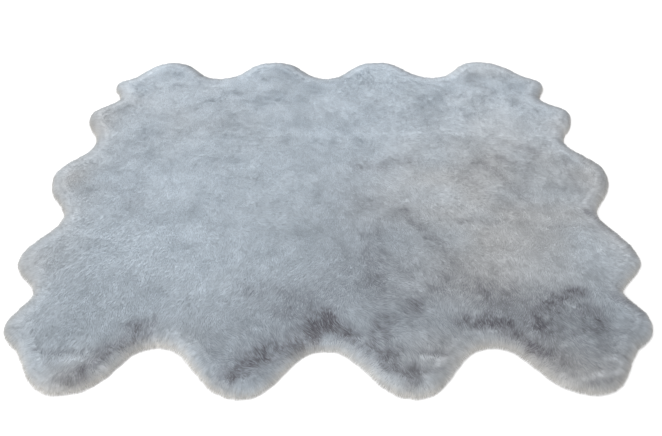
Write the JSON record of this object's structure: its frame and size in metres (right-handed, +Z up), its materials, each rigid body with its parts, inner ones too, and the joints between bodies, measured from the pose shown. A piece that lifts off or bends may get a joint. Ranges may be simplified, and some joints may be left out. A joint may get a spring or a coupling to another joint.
{
  "type": "faux fur rug",
  "caption": "Flat faux fur rug in pale blue-grey, with rounded lobes all round its edge and pile that hangs over the cut edge.",
  "frame": {"origin": "middle of the flat underside, which lies on the floor", "axes": "+X along the rug's width, its longest side; -Y towards the front edge, the one nearest the camera; +Z up through the pile"},
  "size_m": [1.8, 1.5, 0.0363],
  "materials": {
    "fur_pile": "dense cut pile, blue-grey with a light sheen"
  },
  "bodies": {
    "root": {"fur_rug": "fur_pile"}
  },
  "joints": []
}
